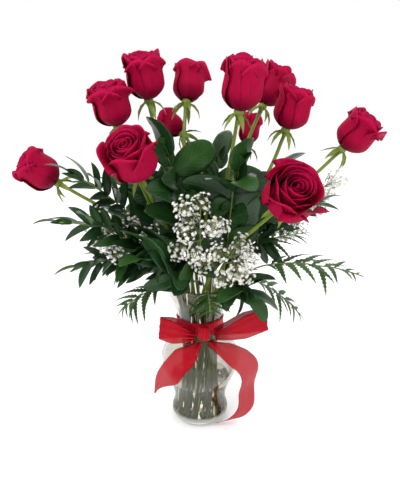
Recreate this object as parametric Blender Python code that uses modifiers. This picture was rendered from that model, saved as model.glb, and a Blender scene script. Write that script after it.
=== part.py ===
"""A bunch of twelve red roses with ferns, leaves and baby's breath in a footed glass vase.

Metres, +Z up.  The origin is the centre of the vase's foot, on the table.  The front is -Y.
Angles are in degrees and are counted anticlockwise from +X, seen from above.
"""
import math
import random

import bmesh
import bpy
from mathutils import Matrix, Vector
from mathutils.bvhtree import BVHTree

# ---------------------------------------------------------------- driving sizes
FIT_GAP = 0.0003            # between pieces that touch
CLEARANCE = 0.0008          # least room round a stem or a leaf

VASE_HEIGHT = 0.235
BASE_DISC_RADIUS = 0.036
FOOT_RADIUS = 0.045
FOOT_HEIGHT = 0.014
WAIST_RADIUS = 0.0405
WAIST_HEIGHT = 0.038
BELLY_RADIUS = 0.061
BELLY_HEIGHT = 0.107
NECK_RADIUS = 0.034
NECK_HEIGHT = 0.170
RIM_RADIUS = 0.052
GLASS_WALL = 0.0026
GLASS_BASE = 0.012
WATER_HEIGHT = 0.070
TURNED_SEGMENTS = 28

ROSE_STEM_RADIUS = 0.0025
SPRAY_STEM_RADIUS = 0.0014
TWIG_RADIUS = 0.0007
BUD_RADIUS = 0.0016
STEM_TWIST = 50.0           # turn of the bundle from the foot to the neck
NECK_SWIRL = 25.0           # turn of the bundle from the neck to the rim
FOOT_SPREAD = 1.15          # ring radius at the stem ends over that at the neck
RIM_LIFT = 0.7              # how strongly a stem rises as it passes the rim
RIM_POINT = 3               # which point of a stem's route stands at the rim
FAN_STEPS = 6               # how many lengths a stem has beyond the rim

CALYX_RADIUS = 0.0062
CALYX_LENGTH = 0.012
SEPAL_LENGTH = 0.028
SEPAL_WIDTH = 0.0085

RIBBON_WIDTH = 0.036
RIBBON_THICKNESS = 0.0010
BAND_WIDTH = 0.020
BAND_THICKNESS = 0.0014
KNOT_SIZE = (0.024, 0.016, 0.022)
KNOT_OFFSET = 0.006         # how far the knot sits to the right of the middle
LEFT_LOOP_REACH = 0.051
RIGHT_LOOP_REACH = 0.076
LOOP_DEPTH = 0.022
LOOP_STEPS = 12
LOOP_CLEARANCE = 0.0016     # between the knot and the start of a loop
TAIL_CLEARANCE = 0.0018     # least stand-off of the middle of a tail's thickness from the glass
TAIL_STEPS = 12

# ---------------------------------------------------------------- colours
MATERIALS = {
    "petal": ((0.42, 0.008, 0.045), 0.55),
    "rose_green": ((0.10, 0.20, 0.04), 0.50),
    "leaf_green": ((0.02, 0.09, 0.03), 0.35),
    "fern_green": ((0.02, 0.11, 0.02), 0.50),
    "blossom": ((0.72, 0.68, 0.55), 0.80),
    "ribbon": ((0.60, 0.01, 0.04), 0.40),
    "glass": ((0.80, 0.84, 0.78), 0.05),
    "water": ((0.72, 0.78, 0.66), 0.05),
}

# Each rose: where its calyx meets its petals (x, y, height over the rim), how far it leans and
# towards what bearing, the radius of its open mouth, its height, and the stem ring it stands in.
ROSES = (
    ("rose_01", (-0.071, 0.010, 0.265), 12, -124, 0.029, 0.064, "inner"),
    ("rose_02", (-0.019, 0.020, 0.261), 34, 79, 0.025, 0.058, "inner"),
    ("rose_03", (-0.111, -0.020, 0.233), 16, -139, 0.029, 0.060, "outer"),
    ("rose_04", (-0.077, -0.085, 0.179), 40, -111, 0.033, 0.066, "outer"),
    ("rose_05", (-0.204, 0.000, 0.151), 54, -167, 0.029, 0.060, "outer"),
    ("rose_06", (-0.028, 0.085, 0.208), 55, 150, 0.019, 0.045, "inner"),
    ("rose_07", (0.050, -0.045, 0.255), 8, -32, 0.030, 0.070, "inner"),
    ("rose_08", (0.092, 0.055, 0.253), 28, 25, 0.026, 0.062, "outer"),
    ("rose_09", (0.118, -0.005, 0.227), 14, -20, 0.028, 0.060, "outer"),
    ("rose_10", (0.072, 0.090, 0.190), 20, 60, 0.018, 0.050, "outer"),
    ("rose_11", (0.202, 0.010, 0.198), 38, -18, 0.030, 0.060, "outer"),
    ("rose_12", (0.102, -0.105, 0.145), 52, -73, 0.037, 0.062, "outer"),
)

# Each spray: the end of its stem (x, y, height over the rim), how far the end leans from upright,
# how many leaves, blades or puffs it carries, and the length of its largest one.
FERNS = (
    ("fern_1", (0.222, -0.072, 0.036), 108, 20, 0.062),
    ("fern_2", (0.152, -0.022, -0.050), 150, 18, 0.052),
    ("fern_3", (0.172, 0.078, 0.050), 95, 18, 0.056),
    ("fern_4", (-0.112, -0.066, -0.022), 140, 18, 0.050),
    ("fern_5", (-0.150, 0.040, 0.000), 125, 18, 0.052),
    ("fern_6", (0.014, -0.098, -0.010), 155, 16, 0.040),
    ("fern_7", (-0.010, 0.165, 0.020), 115, 20, 0.060),
)
RUSCUS = (
    ("ruscus_1", (-0.162, -0.060, 0.172), 62, 11, 0.062),
    ("ruscus_2", (-0.168, -0.098, 0.120), 82, 11, 0.064),
    ("ruscus_3", (-0.160, -0.068, 0.050), 102, 10, 0.056),
    ("ruscus_4", (0.176, 0.034, 0.112), 78, 11, 0.056),
    ("ruscus_5", (-0.092, 0.140, 0.125), 70, 11, 0.062),
    ("ruscus_6", (0.120, 0.140, 0.110), 75, 11, 0.060),
)
SALAL = (
    ("salal_1", (-0.040, -0.060, 0.195), 26, 8, 0.084),
    ("salal_2", (0.050, -0.074, 0.180), 28, 8, 0.074),
    ("salal_3", (0.030, 0.110, 0.160), 42, 8, 0.078),
    ("salal_4", (-0.066, -0.092, 0.066), 78, 7, 0.076),
    ("salal_5", (0.112, 0.040, 0.150), 50, 8, 0.072),
    ("salal_6", (0.066, -0.088, 0.012), 112, 6, 0.058),
    ("salal_7", (-0.088, 0.070, 0.135), 48, 8, 0.076),
)
BABYS_BREATH = (
    ("babys_breath_1", (0.000, -0.118, 0.130), 45, 9, 0.0150),
    ("babys_breath_2", (0.040, -0.112, 0.078), 70, 8, 0.0145),
    ("babys_breath_3", (-0.125, -0.058, 0.092), 70, 9, 0.0150),
    ("babys_breath_4", (-0.122, 0.030, 0.060), 85, 7, 0.0135),
    ("babys_breath_5", (0.185, 0.060, 0.130), 60, 9, 0.0150),
    ("babys_breath_6", (-0.022, 0.128, 0.110), 55, 8, 0.0150),
)

# How the leaves sit on each kind of spray: where the leafy part starts beyond the rim, how far the
# leaves scatter round the stem and point ahead, where the longest one is, how much the others
# shorten, and the blade's width to length, arch, widest place, rings and thickness.
FERN_LOOK = {
    "finish": "fern_green",
    "from": 0.30,
    "scatter": 8,
    "ahead": 62,
    "peak": 0.18,
    "taper": 0.80,
    "slender": 0.26,
    "arch": 0.10,
    "widest": 0.30,
    "rings": 2,
    "thick": 0.0012,
}
RUSCUS_LOOK = {
    "finish": "leaf_green",
    "from": 0.24,
    "scatter": 35,
    "ahead": 42,
    "peak": 0.40,
    "taper": 0.25,
    "slender": 0.30,
    "arch": 0.12,
    "widest": 0.42,
    "rings": 3,
    "thick": 0.0012,
}
SALAL_LOOK = {
    "finish": "leaf_green",
    "from": 0.26,
    "scatter": 60,
    "ahead": 55,
    "peak": 0.60,
    "taper": 0.20,
    "slender": 0.52,
    "arch": 0.14,
    "widest": 0.45,
    "rings": 4,
    "thick": 0.0013,
}

# Stops of the ribbon's two tails, from the knot down: a bearing, a stand-off from the glass, a height
# as a share of the knot's lower edge, the bearing that the ribbon faces, the slope of its width.
LEFT_TAIL = (
    (266, 0.007, 0.97, 268, 0),
    (244, 0.006, 0.82, 262, -40),
    (226, 0.011, 0.60, 258, -28),
    (216, 0.022, 0.36, 262, -12),
)
RIGHT_TAIL = (
    (290, 0.007, 0.97, 282, 0),
    (316, 0.009, 0.86, 292, 38),
    (334, 0.020, 0.68, 300, 30),
    (342, 0.030, 0.42, 312, 10),
    (340, 0.036, 0.20, 308, -6),
    (322, 0.010, 0.03, 290, 0),
)

# Radius of each stem ring at the neck and at the rim: the sprays stand just inside the glass, and the
# rings of roses take shares of that radius.
SPRAY_RING = (NECK_RADIUS - GLASS_WALL - 0.0045, RIM_RADIUS - GLASS_WALL - 0.0055)
STEM_RINGS = {
    "inner": tuple(0.39 * radius for radius in SPRAY_RING),
    "outer": tuple(0.706 * radius for radius in SPRAY_RING),
    "spray": SPRAY_RING,
}


# ---------------------------------------------------------------- scene, objects, materials
def clear_scene():
    for obj in list(bpy.data.objects):
        bpy.data.objects.remove(obj, do_unlink=True)


def new_collection(name):
    collection = bpy.data.collections.new(name)
    bpy.context.scene.collection.children.link(collection)
    return collection


def material(name):
    found = bpy.data.materials.get(name)
    if found:
        return found
    colour, roughness = MATERIALS[name]
    made = bpy.data.materials.new(name)
    made.use_nodes = True
    shader = made.node_tree.nodes["Principled BSDF"]
    shader.inputs["Base Color"].default_value = (*colour, 1.0)
    shader.inputs["Roughness"].default_value = roughness
    shader.inputs["Metallic"].default_value = 0.0
    return made


def add_part(name, mesh, finish):
    obj = bpy.data.objects.new(name, mesh)
    mesh.materials.append(material(finish))
    mesh.shade_smooth()
    PARTS.objects.link(obj)
    return obj


def add_guide(name, mesh):
    """An object that only shapes another: a cutter, or shells that are joined to a stem."""
    obj = bpy.data.objects.new(name, mesh)
    obj.hide_render = True
    obj.display_type = "WIRE"
    GUIDES.objects.link(obj)
    return obj


def combine(obj, guide, operation):
    modifier = obj.modifiers.new(guide.name, "BOOLEAN")
    modifier.operation = operation
    modifier.object = guide


# ---------------------------------------------------------------- small geometry
def polar(radius, bearing, z):
    angle = math.radians(bearing)
    return Vector((radius * math.cos(angle), radius * math.sin(angle), z))


def direction(lean, bearing):
    """The unit vector that leans by an angle from +Z towards a bearing."""
    tilt = math.radians(lean)
    return polar(math.sin(tilt), bearing, math.cos(tilt))


def bearing_of(point):
    return math.degrees(math.atan2(point[1], point[0])) % 360.0


def frame_along(axis, up, origin):
    """A matrix whose X runs along an axis and whose Z is as near to up as it can be."""
    x = axis.normalized()
    y = up.cross(x).normalized()
    z = x.cross(y)
    return Matrix.Translation(origin) @ Matrix((x, y, z)).transposed().to_4x4()


def ease(low, high, t):
    return low + (high - low) * (1.0 - math.cos(math.pi * t)) / 2.0


def blend_knots(knots, at):
    """A value that eases from knot to knot; each knot is a place and a value."""
    for (left, low), (right, high) in zip(knots, knots[1:]):
        if at <= right:
            return ease(low, high, max(0.0, (at - left) / (right - left)))
    return knots[-1][1]


def blend_line(knots, at):
    """A smooth curve through knots, by cubic steps with matching slopes."""
    places = [knot[0] for knot in knots]
    values = [knot[1] for knot in knots]
    last = len(knots) - 1
    slopes = []
    for i in range(last + 1):
        low = max(0, i - 1)
        high = min(last, i + 1)
        slopes.append((values[high] - values[low]) / (places[high] - places[low]))
    i = min(last - 1, max(j for j in range(last + 1) if places[j] <= at + 1e-9))
    span = places[i + 1] - places[i]
    t = (at - places[i]) / span
    return (
        values[i] * (2 * t**3 - 3 * t**2 + 1)
        + values[i + 1] * (3 * t**2 - 2 * t**3)
        + slopes[i] * span * (t**3 - 2 * t**2 + t)
        + slopes[i + 1] * span * (t**3 - t**2)
    )


def smooth_radius(z):
    knots = (
        (0.0, BASE_DISC_RADIUS),
        (FOOT_HEIGHT, FOOT_RADIUS),
        (WAIST_HEIGHT, WAIST_RADIUS),
        (BELLY_HEIGHT, BELLY_RADIUS),
        (NECK_HEIGHT, NECK_RADIUS),
        (VASE_HEIGHT, RIM_RADIUS),
    )
    return blend_knots(knots, z)


def heights_between(low, high, count):
    return [low + (high - low) * i / count for i in range(count + 1)]


def turned_levels():
    """The heights of the rings that the glass is turned through, over the inside floor."""
    band_low = NECK_HEIGHT - BAND_WIDTH / 2
    band_high = NECK_HEIGHT + BAND_WIDTH / 2
    stops = (
        (GLASS_BASE, WAIST_HEIGHT, 2),
        (WAIST_HEIGHT, BELLY_HEIGHT, 4),
        (BELLY_HEIGHT, band_low, 3),
        (band_low, band_high, 2),
        (band_high, VASE_HEIGHT, 3),
    )
    levels = [GLASS_BASE]
    for low, high, count in stops:
        levels += heights_between(low, high, count)[1:]
    return levels


def outer_radius(z):
    """The radius of the glass, which runs straight between its levels."""
    levels = [0.0, FOOT_HEIGHT / 2, FOOT_HEIGHT]
    levels += [level for level in turned_levels() if level > FOOT_HEIGHT]
    for low, high in zip(levels, levels[1:]):
        if z <= high:
            share = (z - low) / (high - low)
            return smooth_radius(low) * (1 - share) + smooth_radius(high) * share
    return smooth_radius(VASE_HEIGHT)


def inner_radius(z):
    return outer_radius(z) - GLASS_WALL


# ---------------------------------------------------------------- meshes
def shaped_ball(place, rings, segments):
    """A ball whose points are moved to place(share of the way along, angle round)."""
    shape = bmesh.new()
    bmesh.ops.create_uvsphere(shape, u_segments=segments, v_segments=rings, radius=1.0)
    for vert in shape.verts:
        along = math.acos(max(-1.0, min(1.0, -vert.co.z))) / math.pi
        vert.co = place(along, math.atan2(vert.co.y, vert.co.x))
    bmesh.ops.recalc_face_normals(shape, faces=shape.faces)
    return shape


def merged_mesh(name, shapes):
    """One mesh that holds several shapes as separate shells."""
    whole = bmesh.new()
    for shape in shapes:
        lump = bpy.data.meshes.new(name)
        shape.to_mesh(lump)
        whole.from_mesh(lump)
        bpy.data.meshes.remove(lump)
    mesh = bpy.data.meshes.new(name)
    whole.to_mesh(mesh)
    whole.free()
    return mesh


def turned_mesh_object(name, profile, finish):
    """A profile of (radius, height) turned round the Z axis, running down its outer side."""
    mesh = bpy.data.meshes.new(name)
    edges = [(i, i + 1) for i in range(len(profile) - 1)]
    mesh.from_pydata([(radius, 0.0, z) for radius, z in profile], edges, [])
    obj = add_part(name, mesh, finish)
    screw = obj.modifiers.new("turned", "SCREW")
    screw.steps = TURNED_SEGMENTS
    screw.render_steps = TURNED_SEGMENTS
    screw.use_merge_vertices = True
    screw.merge_threshold = 0.00001
    return obj


def tube_mesh(name, points, radius, sides):
    curve = bpy.data.curves.new(name, "CURVE")
    curve.dimensions = "3D"
    curve.bevel_depth = radius
    curve.bevel_resolution = (sides - 4) // 2
    curve.use_fill_caps = True
    spline = curve.splines.new("POLY")
    spline.points.add(len(points) - 1)
    for knot, point in zip(spline.points, points):
        knot.co = (*point, 1.0)
    wire = bpy.data.objects.new(name, curve)
    GUIDES.objects.link(wire)
    graph = bpy.context.evaluated_depsgraph_get()
    mesh = bpy.data.meshes.new_from_object(wire.evaluated_get(graph))
    bpy.data.objects.remove(wire, do_unlink=True)
    shape = bmesh.new()
    shape.from_mesh(mesh)
    bmesh.ops.remove_doubles(shape, verts=shape.verts, dist=0.00001)
    bmesh.ops.recalc_face_normals(shape, faces=shape.faces)
    shape.to_mesh(mesh)
    shape.free()
    return mesh


def strip_mesh(name, rows):
    """A sheet through rows of points, as thick as the ribbon."""
    shape = bmesh.new()
    across = len(rows[0]) - 1
    bmesh.ops.create_grid(shape, x_segments=across, y_segments=len(rows) - 1, size=1.0)
    order = sorted(shape.verts, key=lambda vert: (round(vert.co.y, 4), round(vert.co.x, 4)))
    for vert, point in zip(order, [point for row in rows for point in row]):
        vert.co = point
    mesh = bpy.data.meshes.new(name)
    shape.to_mesh(mesh)
    shape.free()
    return mesh


# ---------------------------------------------------------------- room between the pieces
def tree_of(shape):
    shape.verts.ensure_lookup_table()
    tree = BVHTree.FromBMesh(shape)
    low = Vector([min(vert.co[axis] for vert in shape.verts) for axis in range(3)])
    high = Vector([max(vert.co[axis] for vert in shape.verts) for axis in range(3)])
    return tree, low, high


def tree_of_mesh(mesh):
    shape = bmesh.new()
    shape.from_mesh(mesh)
    found = tree_of(shape)
    shape.free()
    return found


def boxes_meet(first, second):
    return all(first[1][i] <= second[2][i] and second[1][i] <= first[2][i] for i in range(3))


def is_clear(candidate, others):
    for other in others:
        if boxes_meet(candidate, other) and candidate[0].overlap(other[0]):
            return False
    return True


def first_clear(build, choices, others):
    """The first choice whose grown shape touches nothing, with plenty of room if there is any."""
    for room in (CLEARANCE * 2.5, CLEARANCE):
        for choice in choices:
            grown = build(choice, room)
            clear = is_clear(tree_of(grown), others)
            grown.free()
            if clear:
                return choice
    return choices[-1]


# ---------------------------------------------------------------- vase, water and ribbon
def build_vase():
    inner_heights = turned_levels()
    outer_heights = [z for z in reversed(inner_heights) if z > FOOT_HEIGHT]
    outer_heights += [FOOT_HEIGHT, FOOT_HEIGHT / 2, 0.0]
    profile = [(0.0, GLASS_BASE)]
    profile += [(inner_radius(z), z) for z in inner_heights]
    profile += [(outer_radius(z), z) for z in outer_heights]
    profile.append((0.0, 0.0))
    return turned_mesh_object("vase", profile, "glass")


def build_water(stems):
    floor = GLASS_BASE + FIT_GAP
    heights = [floor] + [z for z in turned_levels() if floor < z < WATER_HEIGHT] + [WATER_HEIGHT]
    profile = [(0.0, WATER_HEIGHT)]
    profile += [(inner_radius(z) - FIT_GAP, z) for z in reversed(heights)]
    profile.append((0.0, floor))
    water = turned_mesh_object("water", profile, "water")
    for ring, radius, sides in (("rose", ROSE_STEM_RADIUS, 6), ("spray", SPRAY_STEM_RADIUS, 4)):
        shafts = []
        for kind, foot, neck in stems:
            if kind == ring:
                run = (neck - foot).normalized()
                tube = tube_mesh("shaft", [foot - run * FIT_GAP, neck], radius + FIT_GAP * 1.5, sides)
                shaft = bmesh.new()
                shaft.from_mesh(tube)
                shafts.append(shaft)
        holes = add_guide("water_holes_" + ring, merged_mesh("water_holes_" + ring, shafts))
        combine(water, holes, "DIFFERENCE")


def clear_of_glass(point, stand_off):
    """The point, moved straight out from the axis if it is nearer the glass than a stand-off."""
    least = outer_radius(max(point.z, 0.0)) + stand_off
    reach = math.hypot(point.x, point.y)
    return polar(max(least, reach), bearing_of(point), point.z)


def build_band():
    """The ribbon's turn round the neck: a sleeve that follows the glass."""
    heights = heights_between(NECK_HEIGHT - BAND_WIDTH / 2, NECK_HEIGHT + BAND_WIDTH / 2, 2)
    inside = [(outer_radius(z) + FIT_GAP * 2, z) for z in heights]
    outside = [(radius + BAND_THICKNESS, z) for radius, z in reversed(inside)]
    profile = inside + outside + [inside[0]]
    turned_mesh_object("ribbon_band", profile, "ribbon")
    return max(radius for radius, _ in outside)


def build_knot(front):
    """A pinched lump in front of the band, whose widest radius is given."""
    width, depth, height = KNOT_SIZE
    centre = Vector((KNOT_OFFSET, -front - FIT_GAP - depth / 2, NECK_HEIGHT))

    def place(along, angle):
        swell = math.sin(math.pi * along) ** 0.6
        pinch = 1.0 - 0.18 * math.cos(2 * angle)
        z = -math.cos(math.pi * along) * height / 2
        x = width / 2 * swell * math.cos(angle) * pinch
        y = depth / 2 * swell * math.sin(angle)
        return centre + Vector((x, y, z))

    shape = shaped_ball(place, 6, 8)
    mesh = merged_mesh("ribbon_knot", [shape])
    add_part("ribbon_knot", mesh, "ribbon")
    return centre


def solid_strip(name, rows):
    obj = add_part(name, strip_mesh(name, rows), "ribbon")
    skin = obj.modifiers.new("thickness", "SOLIDIFY")
    skin.thickness = RIBBON_THICKNESS
    skin.offset = 0.0
    skin.use_even_offset = False
    return obj


def build_loop(name, side, reach, lift, knot):
    """A bow loop: a strip that leaves the knot, turns over at its fold and comes back."""
    start = knot + Vector((side * (KNOT_SIZE[0] / 2 + LOOP_CLEARANCE), 0.0, 0.0))
    rows = []
    for step in range(LOOP_STEPS + 1):
        turn = math.radians(-160.0 + 320.0 * step / LOOP_STEPS)
        out = reach * (1 + math.cos(turn)) / 2
        deep = -0.25 * LOOP_DEPTH + LOOP_DEPTH / 2 * math.sin(turn) * math.sin(abs(turn) / 2)
        spread = RIBBON_WIDTH / 2 * (0.30 + 0.70 * min(1.0, out / (reach * 0.6)))
        middle = start + Vector((side * out, deep - 0.12 * out, lift * out))
        tilt = Vector((-side * lift * 0.35, 0.0, 1.0)).normalized()
        rows.append([middle - tilt * spread, middle, middle + tilt * spread])
    return solid_strip(name, rows)


def build_tail(name, course, knot):
    """A tail: a strip through the stops of its course, kept clear of the glass."""
    rows = []
    for step in range(TAIL_STEPS + 1):
        along = step / TAIL_STEPS
        bearing, stand_off, share, face, slope = [
            blend_line([(i / (len(course) - 1), stop[item]) for i, stop in enumerate(course)], along)
            for item in range(5)
        ]
        z = (knot.z - KNOT_SIZE[2] / 2) * share
        middle = polar(outer_radius(max(z, 0.0)) + stand_off, bearing, z)
        tilt = math.radians(slope)
        wide = polar(math.cos(tilt), face + 90.0, math.sin(tilt))
        half = RIBBON_WIDTH / 2 * min(1.0, 0.35 + 2.2 * along)
        row = []
        for edge in (-1.0, 0.0, 1.0):
            point = clear_of_glass(middle + wide * edge * half, TAIL_CLEARANCE)
            point.z = max(point.z, RIBBON_THICKNESS)
            row.append(point)
        rows.append(row)
    ease_over_glass(rows)
    return solid_strip(name, rows)


def ease_over_glass(rows):
    """Move neighbouring corners out together where the ribbon between them is too near the glass."""
    for first, second in zip(rows, rows[1:]):
        for i in range(len(first) - 1):
            for a, b in ((first[i], second[i]), (first[i], second[i + 1]), (first[i + 1], second[i])):
                middle = (a + b) / 2
                shift = clear_of_glass(middle, RIBBON_THICKNESS / 2 + FIT_GAP) - middle
                a += shift
                b += shift


def build_ribbon():
    front = build_band()
    knot = build_knot(front)
    build_loop("ribbon_loop_left", -1, LEFT_LOOP_REACH, 0.28, knot)
    build_loop("ribbon_loop_right", 1, RIGHT_LOOP_REACH, 0.40, knot)
    build_tail("ribbon_tail_left", LEFT_TAIL, knot)
    build_tail("ribbon_tail_right", RIGHT_TAIL, knot)


# ---------------------------------------------------------------- stems
def share_slots(bearings):
    """Places on a ring, evenly spaced, in the order of the bearings that the stems lean to."""
    step = 360.0 / len(bearings)
    order = sorted(range(len(bearings)), key=lambda i: bearings[i])
    offset = sum(bearings[index] - place * step for place, index in enumerate(order)) / len(order)
    return {index: offset + place * step for place, index in enumerate(order)}


def hermite(start, finish, leave, arrive, t):
    return (
        start * (2 * t**3 - 3 * t**2 + 1)
        + finish * (3 * t**2 - 2 * t**3)
        + leave * (t**3 - 2 * t**2 + t)
        + arrive * (t**3 - t**2)
    )


def stem_route(ring, slot, end, end_direction, swing=0.0):
    """Foot, neck, rim, end: straight in the bundle, then a smooth fan to the end."""
    neck_radius, rim_radius = STEM_RINGS[ring]
    foot_z = GLASS_BASE + 0.0016
    foot = polar(neck_radius * FOOT_SPREAD, slot - NECK_SWIRL - STEM_TWIST, foot_z)
    neck = polar(neck_radius, slot - NECK_SWIRL, NECK_HEIGHT)
    rim = polar(rim_radius, slot + swing, VASE_HEIGHT)
    rising = (neck - foot).normalized()
    first = (rim - neck).length
    second = (end - rim).length
    over_rim = ((rim - neck) / first + (end - rim) / second + Vector((0, 0, RIM_LIFT))).normalized()
    points = [foot, neck]
    for step in range(1, RIM_POINT):
        points.append(hermite(neck, rim, rising * first, over_rim * first, step / (RIM_POINT - 1)))
    for step in range(1, FAN_STEPS + 1):
        arrive = end_direction * second * 0.8
        points.append(hermite(rim, end, over_rim * second, arrive, step / FAN_STEPS))
    return points


def tube_shape(points, radius, sides):
    mesh = tube_mesh("trial", points, radius, sides)
    shape = bmesh.new()
    shape.from_mesh(mesh)
    bpy.data.meshes.remove(mesh)
    return shape


def place_stem(name, ring, slot, end, end_direction, radius, sides, finish):
    """The stem tube, swung over at the rim until it is clear of the stems already there."""

    def build(swing, grow):
        return tube_shape(stem_route(ring, slot, end, end_direction, swing), radius + grow, sides)

    swings = (0, 6, -6, 12, -12, 18, -18, 24, -24, 30, -30)
    swing = first_clear(build, swings, PLACED)
    points = stem_route(ring, slot, end, end_direction, swing)
    mesh = tube_mesh(name, points, radius, sides)
    obj = add_part(name, mesh, finish)
    own_tree = tree_of_mesh(mesh)
    PLACED.append(own_tree)
    return obj, points, own_tree


# ---------------------------------------------------------------- leaves
def blade(matrix, length, width, thickness, widest, arch, rings, grow=0.0):
    """A blade: pointed at both ends, widest at a share of its length, arched down by a share."""
    long = length + grow

    def place(along, angle):
        if along < 0.5:
            share = along * 2 * widest
        else:
            share = widest + (along * 2 - 1) * (1 - widest)
        swell = math.sin(math.pi * along) ** 0.8
        half = (width / 2 + grow) * swell
        thick = (thickness / 2 + grow) * swell ** 0.5
        local = Vector((long * share, half * math.cos(angle), thick * math.sin(angle)))
        local.z -= arch * long * share**2
        return matrix @ local

    return shaped_ball(place, rings, 4)


def bud_at(root):
    """The room that a leaf's root needs, which no other leaf of its stem may fill."""
    bud = bmesh.new()
    bmesh.ops.create_icosphere(bud, subdivisions=1, radius=BUD_RADIUS, matrix=Matrix.Translation(root))
    return bud


def grow_leaves(stem, own_tree, name, wishes, widest, rings, thickness):
    """Each wish is a root, a direction, an up vector, a length, a width and an arch."""
    leaves = []
    trees = [tree for tree in PLACED if tree is not own_tree]
    choices = [
        (spin, lift, size)
        for size in (1.0, 0.85, 0.7, 0.55, 0.4, 0.25, 0.15)
        for lift in (0, 22, -22, 45)
        for spin in (0, 20, -20, 40, -40, 65, -65)
    ]
    buds = [tree_of(bud_at(wish[0])) for wish in wishes]
    for place, (root, heading, up, length, width, arch) in enumerate(wishes):
        side = up.cross(heading).normalized()

        def build(choice, grow, root=root, heading=heading, up=up, side=side):
            spin, lift, size = choice
            turned = Matrix.Rotation(math.radians(lift), 3, side) @ heading
            turned = Matrix.Rotation(math.radians(spin), 3, up) @ turned
            matrix = frame_along(turned, up, root)
            return blade(matrix, length * size, width * size, thickness, widest, arch, rings, grow)

        choice = first_clear(build, choices, trees + buds[:place] + buds[place + 1 :])
        leaf = build(choice, 0.0)
        leaves.append(leaf)
        trees.append(tree_of(leaf))
        PLACED.append(trees[-1])
    mesh = merged_mesh(name, leaves)
    for leaf in leaves:
        leaf.free()
    combine(stem, add_guide(name, mesh), "UNION")


def point_along(points, share):
    """The point and the direction at a share of a polyline's length."""
    lengths = [(b - a).length for a, b in zip(points, points[1:])]
    target = sum(lengths) * share
    for (a, b), length in zip(zip(points, points[1:]), lengths):
        if target <= length:
            return a + (b - a) * (target / length), (b - a).normalized()
        target -= length
    return points[-1], (points[-1] - points[-2]).normalized()


def level_side(run):
    side = run.cross(Vector((0, 0, 1)))
    return side.normalized() if side.length > 0.05 else Vector((1, 0, 0))


def build_spray_stem(row, slot, finish):
    name, (x, y, rise), lean, _, _ = row
    end = Vector((x, y, VASE_HEIGHT + rise))
    heading = direction(lean, bearing_of(end))
    return place_stem(name, "spray", slot, end, heading, SPRAY_STEM_RADIUS, 4, finish)


def past_peak(share, peak):
    """How far a share of the way is from the peak: 0 there, 1 at either end."""
    room = 1 - peak if share > peak else peak
    return abs(share - peak) / room


def build_leaves(row, planted, look):
    """Blades in two rows or round the stem, longest at a share of the leafy part."""
    name, _, _, count, longest = row
    stem, points, own_tree = planted
    dice = random.Random(name)
    wishes = []
    for i in range(count):
        share = look["from"] + (0.995 - look["from"]) * i / (count - 1)
        root, run = point_along(points[RIM_POINT:], share)
        side = level_side(run)
        up = side.cross(run).normalized()
        around = math.radians((0 if i % 2 else 180) + dice.uniform(-1, 1) * look["scatter"])
        outward = side * math.cos(around) + up * math.sin(around)
        ahead = math.radians(look["ahead"] + dice.uniform(-8, 8))
        if i == count - 1:
            ahead = math.radians(4)
        toward = run * math.cos(ahead) + outward * math.sin(ahead)
        length = longest * (1 - look["taper"] * past_peak(i / (count - 1), look["peak"]) ** 2)
        facing = up if abs(up.dot(toward)) < 0.9 else run
        start = root + outward * SPRAY_STEM_RADIUS * 0.25
        wishes.append((start, toward, facing, length, length * look["slender"], look["arch"]))
    grow_leaves(stem, own_tree, name + "_leaves", wishes, look["widest"], look["rings"], look["thick"])


# ---------------------------------------------------------------- baby's breath
def build_puffs(row, planted):
    """Fine branches along the end of the stem, each with a puff of tiny blossoms."""
    name, _, _, count, puff = row
    stem, points, own_tree = planted
    dice = random.Random(name)
    twigs = []
    puffs = []
    trees = [tree for tree in PLACED if tree is not own_tree]
    for i in range(count):
        root, run = point_along(points[RIM_POINT:], 0.40 + 0.595 * i / (count - 1))
        side = level_side(run)
        up = side.cross(run).normalized()
        reach = puff * (2.9 - 1.1 * i / count)

        def build(choice, grow, root=root, run=run, side=side, up=up, reach=reach):
            around, ahead, size = choice
            outward = side * math.cos(math.radians(around)) + up * math.sin(math.radians(around))
            toward = run * math.cos(math.radians(ahead)) + outward * math.sin(math.radians(ahead))
            ball = tube_shape([root, root + toward * reach], TWIG_RADIUS + grow, 4) if grow else bmesh.new()
            spot = Matrix.Translation(root + toward * reach)
            bmesh.ops.create_icosphere(ball, subdivisions=1, radius=puff * size + grow, matrix=spot)
            return ball

        turn = 137.5 * i + dice.uniform(-15, 15)
        choices = [
            (turn + swing, ahead, size)
            for size in (1.0, 0.8, 0.6, 0.45, 0.3)
            for ahead in (48, 70, 30)
            for swing in (0, 40, -40, 80, -80, 130, -130)
        ]
        choice = first_clear(build, choices, trees)
        ball = build(choice, 0.0)
        centre = sum((vert.co for vert in ball.verts), Vector()) / len(ball.verts)
        twigs.append(tube_shape([root, centre], TWIG_RADIUS, 4))
        puffs.append(ball)
        trees.append(tree_of(ball))
    PLACED.extend(tree_of(ball) for ball in puffs)
    PLACED.extend(tree_of(twig) for twig in twigs)
    combine(stem, add_guide(name + "_twigs", merged_mesh(name + "_twigs", twigs)), "UNION")
    combine(stem, add_guide(name + "_puffs", merged_mesh(name + "_puffs", puffs)), "UNION")


# ---------------------------------------------------------------- roses
def rose_frame(row):
    _, (x, y, rise), lean, bearing, _, _, _ = row
    base = Vector((x, y, VASE_HEIGHT + rise))
    return base, direction(lean, bearing)


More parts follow.
